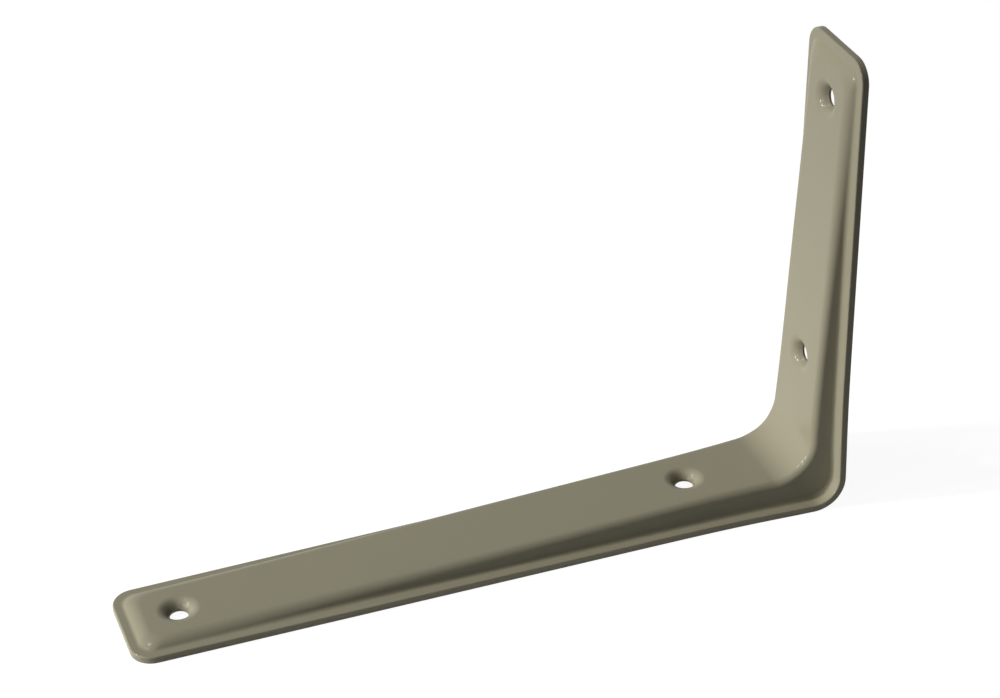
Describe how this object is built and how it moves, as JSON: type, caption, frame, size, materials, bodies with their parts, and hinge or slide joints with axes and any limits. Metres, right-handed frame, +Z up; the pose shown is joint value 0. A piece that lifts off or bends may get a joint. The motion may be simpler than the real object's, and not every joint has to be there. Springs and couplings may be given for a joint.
{
  "type": "angle bracket",
  "caption": "Pressed sheet-steel L bracket with a hollow stiffening rib along both arms and countersunk screw holes.",
  "frame": {"origin": "centre of the footprint, on the plane that the long arm's rim rests on", "axes": "+Z up along the short arm, +X along the long arm towards the heel, the arms symmetric about Y = 0"},
  "size_m": [0.15, 0.027, 0.1],
  "materials": {
    "bracket": "semi-gloss"
  },
  "bodies": {
    "root": {"bracket": "bracket"}
  },
  "joints": []
}
